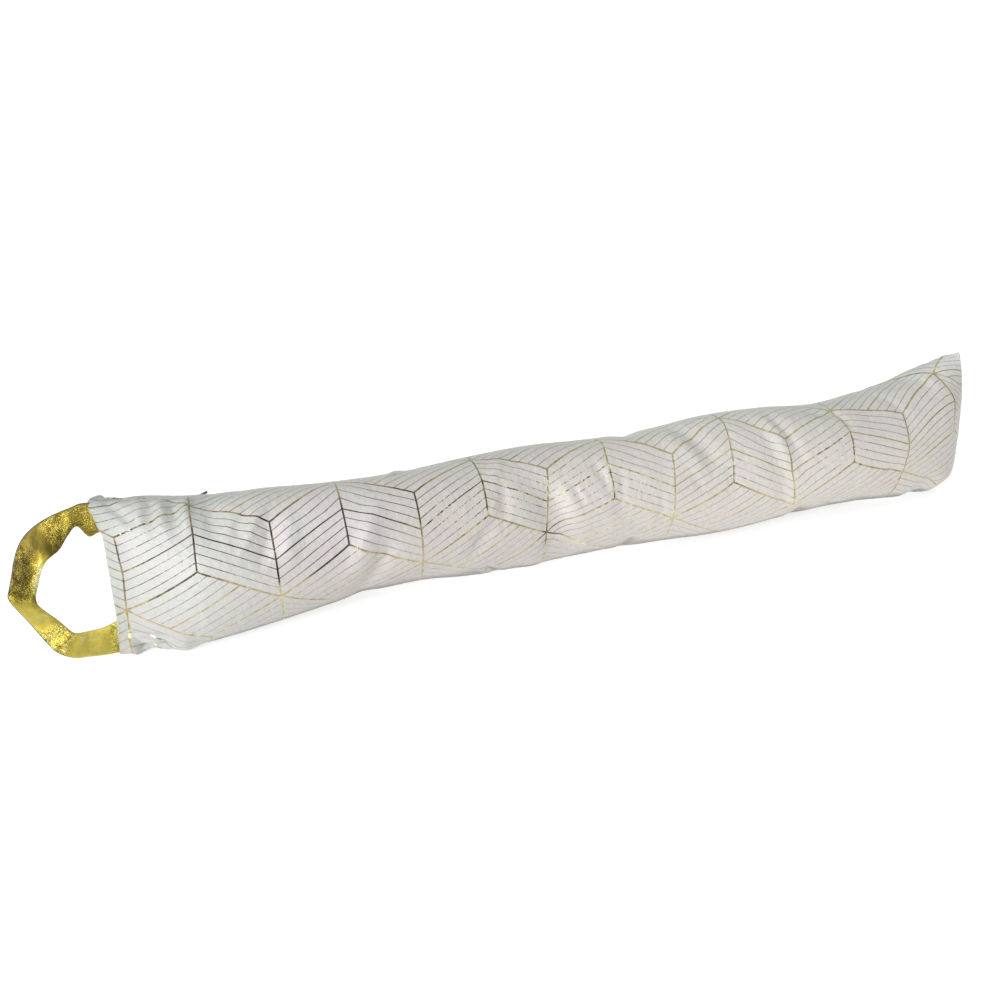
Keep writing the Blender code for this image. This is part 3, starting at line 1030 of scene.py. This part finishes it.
def creased(points, along):
    """The grid with the creases of a cloth simulation. The cover's own shape stays."""
    moved = simulated_moves(points)
    creases = smoothed(moved, FINE_ROUNDS) - smoothed(moved, CREASE_ROUNDS)
    creases -= averaged_along(creases, RIDGE_RINGS)
    size = np.linalg.norm(creases, axis=-1, keepdims=True)
    creases *= MOST_CREASE * np.tanh(size / MOST_CREASE) / np.maximum(size, 1e-9)
    return points + creases * crease_share(along)[..., None]


def print_moved(along, u, kind):
    """How far the print is "drawn" along the cloth or "raised" up it, in columns or rows."""
    column = along / PRINT_PITCH + PRINT_START
    count = len(MOVED_ROWS)
    place = np.clip(np.interp(-u / PRINT_RISE, [-row for row in MOVED_ROWS], range(count)), 0, count - 1)
    made = np.zeros_like(along)
    for k in range(count):
        moves = [row[k] for row in column_of(PRINT_PLACES, kind)]
        moved = np.interp(column, column_of(PRINT_PLACES, "column"), moves)
        made += moved * np.clip(1 - np.abs(place - k), 0, 1)
    return made


def tube_faces(index):
    """Faces between the rings of a grid of vertices whose columns close on themselves."""
    right = np.roll(index, -1, axis=1)
    return np.stack((index[:-1], right[:-1], right[1:], index[1:]), axis=-1).reshape(-1, 4)


def cover_mesh(points, along, u):
    """The cover as one closed mesh, with a map of the print's places and a map of the whole cloth."""
    rings, columns = points.shape[:2]
    index = np.arange(rings * columns).reshape(rings, columns)
    quads = tube_faces(index)
    faces = quads.tolist()

    def cap(ring, tip, flipped):
        half = columns // 2
        front = [ring[(tip + i) % columns] for i in range(half + 1)]
        back = [ring[(tip - i) % columns] for i in range(half + 1)]
        for i in range(half):
            corners = list(dict.fromkeys((front[i], front[i + 1], back[i + 1], back[i])))
            faces.append(corners[::-1] if flipped else corners)

    scale = columns // COLUMNS
    cap(index[0].tolist(), LEFT_TIP_COLUMN * scale, True)
    cap(index[-1].tolist(), 0, False)
    mesh = bpy.data.meshes.new("cover_cloth")
    mesh.from_pydata(points.reshape(-1, 3), [], faces)

    s = (along / PRINT_PITCH + PRINT_START - print_moved(along, u, "drawn")).reshape(-1)
    t = (u / PRINT_RISE - print_moved(along, u, "raised")).reshape(-1)
    share_along = (along / LENGTH).reshape(-1)
    share_round = (np.arange(columns) / columns)[None].repeat(rings, axis=0).reshape(-1)
    corners = np.empty(len(mesh.loops), dtype=int)
    mesh.loops.foreach_get("vertex_index", corners)
    quad_corners = len(quads) * 4
    wrapped = np.zeros(len(corners), dtype=bool)
    last_column = (np.arange(len(quads)) % columns) == columns - 1
    wrapped[:quad_corners] = (last_column[:, None] & np.array((False, True, True, False))).reshape(-1)
    cloth_uv = np.stack((s[corners], t[corners] - wrapped * GIRTH / PRINT_RISE), axis=-1)
    bake_uv = np.stack((share_along[corners], share_round[corners] + wrapped), axis=-1)
    for name, values in (("OFBake", bake_uv), ("cloth", cloth_uv)):
        layer = mesh.uv_layers.new(name=name)
        layer.data.foreach_set("uv", values.astype(np.float32).reshape(-1))
    mesh.shade_smooth()
    return mesh


def add_piece(name, mesh, material, replaced):
    piece = new_object(name, mesh)
    mesh.materials.append(material)
    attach(piece, "root")
    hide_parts(replaced)
    return piece


def add_cover():
    points, along, u = cover_grid()
    points = creased(points, along)
    points, along, u = finer(points), finer(along), finer(u, -GIRTH)
    heights = fold_heights(along, u) + crumple_heights(along, u)
    points += grid_normals(points) * heights[..., None]
    points[..., 2] = np.maximum(points[..., 2], 0)
    cover = add_piece(
        "cover_cloth", cover_mesh(points, along, u), printed_cloth(), "cover"
    )


# Strap, in the plane of the left end seam, which leans by so many degrees
STRAP_HALF_THICKNESS = 1.2 * MM
STRAP_PUFF = 0.5 * MM
SEAM_LEAN = 60
SEAM_MIDDLE = (-0.4050, -0.0049, 0.0650)

# Lines across the strap, from its upper end to its lower one. Each has its outer end's place and then
# its inner end's, in millimetres out from the seam, up from the seam's middle and out of the plane.
# Then come how broken the foil is and how light its painted reflection is at the outer and the inner
# end, with a painted highlight along the inner edge of the upright run.
STRAP_LINES = (
    (-4, 68, 0, -4, 42, 0, 1, 0.6, 0.6),
    (8, 69.6, 0.2, 6, 41.2, 0.4, 1, 0.58, 0.58),
    (17, 70, 0.4, 14, 39.4, 0.8, 1, 0.6, 0.52),
    (25, 67.8, 0.6, 22, 50, 2.2, 1, 0.56, 0.37),
    (36.4, 65, 0.4, 31, 43, 1.6, 1, 0.45, 0.32),
    (48.4, 61, -0.4, 40, 32, 0.8, 0.9, 0.38, 0.26),
    (59.4, 55.4, -1.6, 47, 27.5, 1.4, 0.1, 0.17, 0.28),
    (68.6, 48, -2.4, 52, 24, 1.6, 0.2, 0.12, 0.72),
    (74.9, 39.3, -2.8, 56, 19, 0.6, 0.6, 0.14, 0.95),
    (79.9, 28.2, -2.2, 59.5, 12.5, -0.4, 0.7, 0.12, 1),
    (83.9, 15, -1.2, 62.6, 5, -0.2, 0.7, 0.12, 1.02),
    (87.4, 4, 0.6, 65.4, -3, 1.2, 0.7, 0.24, 0.74),
    (89, -2, 2.2, 66.4, -9, 2.6, 0.8, 0.42, 0.52),
    (86.8, -9.4, 1.6, 65, -14.5, 2.4, 0.4, 0.74, 0.74),
    (80.8, -20.5, -0.2, 60, -21.5, 0.6, 0.1, 0.88, 0.86),
    (73.8, -33.5, -1.4, 54.5, -28, -0.8, 0.1, 0.88, 0.88),
    (65.8, -48, -0.8, 49, -35, -0.4, 0.9, 0.66, 0.7),
    (56.7, -60.2, 1, 42.5, -43, 1.2, 0.9, 0.7, 0.72),
    (44.4, -66.9, 1.2, 37.5, -45, 1.4, 0.1, 0.89, 0.89),
    (31, -68.6, 0.4, 28, -45.2, 0.4, 0, 0.9, 0.91),
    (19, -69.6, 0, 17, -44.8, 0.2, 0.1, 0.89, 0.86),
    (6, -69.9, 0, 4, -41, 0, 0.7, 0.76, 0.76),
    (-4, -70, 0, -4, -38.5, 0, 0.8, 0.72, 0.72),
)

# Where the outer end's painted light and the dark outer edge start and are whole, from -1 at the strap's
# inner edge to 1 at its outer one, and how far along the strap the dark outer edge goes
OUTER_LIGHT_FROM, OUTER_LIGHT_TO = -0.82, -0.15
RIM_FROM, RIM_TO = 0.89, 0.96
RIM_LENGTH = 190 * MM
RIM_FADE = 20 * MM

# Grid of the strap and its crumples, whose noise is read a little apart for its two sides
STRAP_STEP = 0.9 * MM
STRAP_SIDES = 64
STRAP_CRUMPLE = 0.45 * MM
STRAP_FADE = 8 * MM
BROAD_CRUMPLE, BROAD_SEED = 7 * MM, 3.3
FINE_CRUMPLE, FINE_SEED = 3 * MM, 8.7
SIDE_APART = 0.1


def squarish(wave):
    """A sine or cosine wave, made squarer for a flat section with rounded edges."""
    return np.sign(wave) * np.abs(wave) ** 0.5


def strap_rings():
    """Returns (how far along the strap its rings are, the table's columns at each of them)."""
    lines = np.array(STRAP_LINES)
    middles = (lines[:, :3] + lines[:, 3:6]) / 2 * MM
    places = running_total(np.linalg.norm(np.diff(middles, axis=0), axis=1))
    along = np.linspace(0, places[-1], round(places[-1] / STRAP_STEP) + 1)
    return along, np.stack([smooth_table(places, column, along) for column in lines.T], axis=-1)


def strap_crumple(along, across, crackle):
    """How far crumples move the strap's cloth out, more where its foil is broken and none at its ends."""
    broad = smooth_noise(along, across, BROAD_CRUMPLE, BROAD_SEED) * (0.6 + crackle)
    fine = smooth_noise(along, across, FINE_CRUMPLE, FINE_SEED) * 0.5 * crackle
    free = fade_in(along, STRAP_FADE) * fade_in(along[-1:] - along, STRAP_FADE)
    return STRAP_CRUMPLE * (broad + fine) * free


def strap_looks(along, across, columns, crackle):
    """What the foil's material reads at each of the strap's points."""
    outwards = fade_in(across - OUTER_LIGHT_FROM, OUTER_LIGHT_TO - OUTER_LIGHT_FROM)
    # Painted light, from the inner end's to the outer end's across the strap
    light = columns[:, 7:8] * outwards + columns[:, 8:9] * (1 - outwards)
    rim = fade_in(across - RIM_FROM, RIM_TO - RIM_FROM) * fade_in(RIM_LENGTH - along, RIM_FADE)
    return dict(zip(STRAP_LOOKS, (crackle, light, rim)))


def add_strap():
    length_at, columns = strap_rings()
    along = np.repeat(length_at[:, None], STRAP_SIDES, axis=1)
    turn = 2 * math.pi * np.arange(STRAP_SIDES) / STRAP_SIDES
    across, lift = squarish(np.cos(turn)), squarish(np.sin(turn))
    outer, inner = columns[:, :3] * MM, columns[:, 3:6] * MM
    crackle = np.repeat(np.clip(columns[:, 6:7], 0, 1), STRAP_SIDES, axis=1)

    # Places in the seam's plane: out from the seam, up it, and out of the plane
    middle, half = (outer + inner) / 2, (outer - inner) / 2
    points = middle[:, None] + half[:, None] * across[:, None]
    width_across = across * np.linalg.norm(half, axis=1)[:, None] + np.sign(lift) * SIDE_APART
    puff = STRAP_HALF_THICKNESS + STRAP_PUFF * (1 - across**2)
    points[..., 2] += puff * lift + strap_crumple(along, width_across, crackle)
    out, up, forward = np.moveaxis(points, -1, 0)
    c, s = heading_of(SEAM_LEAN)
    points = np.stack((-out, up * c - forward * s, up * s + forward * c), axis=-1) + SEAM_MIDDLE
    points[..., 2] = np.maximum(points[..., 2], 0)

    index = np.arange(points.shape[0] * STRAP_SIDES).reshape(-1, STRAP_SIDES)
    faces = tube_faces(index)[:, ::-1].tolist() + [index[0].tolist(), index[-1][::-1].tolist()]
    mesh = bpy.data.meshes.new("strap")
    mesh.from_pydata(points.reshape(-1, 3), [], faces)
    mesh.shade_smooth()
    for name, values in strap_looks(along, across, columns, crackle).items():
        layer = mesh.attributes.new(name, "FLOAT", "POINT")
        layer.data.foreach_set("value", values.astype(np.float32).reshape(-1))
    strap = add_piece("strap", mesh, gold_cloth(), "handle")


# Floor and light. The studio's light rises with the height of where it comes from, which is 0 at the
# horizon and 1 straight up.
FLOOR_HALF = 15.0
FLOOR_DROP = 0.3 * MM
FLOOR_GLOW = 0.70
LIGHT_SPREAD = {"From Min": -0.1, "From Max": 0.9, "To Min": 0.23, "To Max": 0.84}
STUDIO_COLOUR = (0.97, 1.0, 0.97, 1)
KEY_PLACE = (-1.75, -1.25, 1.15)
KEY_TARGET = (0.0, 0, 0.06)
KEY_SIZE = 0.7
KEY_POWER = 36
KEY_COLOUR = (1.0, 0.965, 0.96)


def add_floor():
    corners = [(x * FLOOR_HALF, y * FLOOR_HALF, 0) for x, y in ((-1, -1), (1, -1), (1, 1), (-1, 1))]
    mesh = bpy.data.meshes.new("floor")
    mesh.from_pydata(corners, [], [(0, 1, 2, 3)])
    floor = new_object("floor", mesh)
    floor.location.z = -FLOOR_DROP
    g = Graph("floor_look")
    g.set(Base_Color=(0.5, 0.5, 0.5, 1), Roughness=0.9, Specular_IOR_Level=0.0)
    g.set(Emission_Color=(1, 1, 1, 1), Emission_Strength=FLOOR_GLOW)
    mesh.materials.append(g.material)


def add_key_light():
    data = bpy.data.lights.new("key", "AREA")
    data.shape = "DISK"
    data.size = KEY_SIZE
    data.energy = KEY_POWER
    data.color = KEY_COLOUR
    light = new_object("key", data)
    light.location = KEY_PLACE
    towards = np.array(KEY_TARGET) - np.array(KEY_PLACE)
    yaw = math.atan2(towards[1], towards[0]) - math.pi / 2
    pitch = math.atan2(math.hypot(towards[0], towards[1]), -towards[2])
    light.rotation_euler = (pitch, 0, yaw)


def add_studio():
    """A soft studio, brighter overhead than at its walls, with one large light at the front left."""
    world = bpy.data.worlds.new("studio")
    world.use_nodes = True
    tree = world.node_tree
    place = tree.nodes.new("ShaderNodeTexCoord").outputs["Generated"]
    height = tree.nodes.new("ShaderNodeSeparateXYZ")
    spread = tree.nodes.new("ShaderNodeMapRange")
    for name, value in LIGHT_SPREAD.items():
        spread.inputs[name].default_value = value
    tree.links.new(place, height.inputs[0])
    tree.links.new(height.outputs["Z"], spread.inputs["Value"])
    background = tree.nodes["Background"]
    background.inputs["Color"].default_value = STUDIO_COLOUR
    tree.links.new(spread.outputs[0], background.inputs["Strength"])
    bpy.context.scene.world = world
    add_key_light()
    bpy.context.scene.view_settings.view_transform = "Standard"


add_floor()
add_studio()
add_cover()
add_strap()
black = black_enamel()
for node in ("zip_slider", "zip_pull"):
    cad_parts[node].material_slots[0].material = black
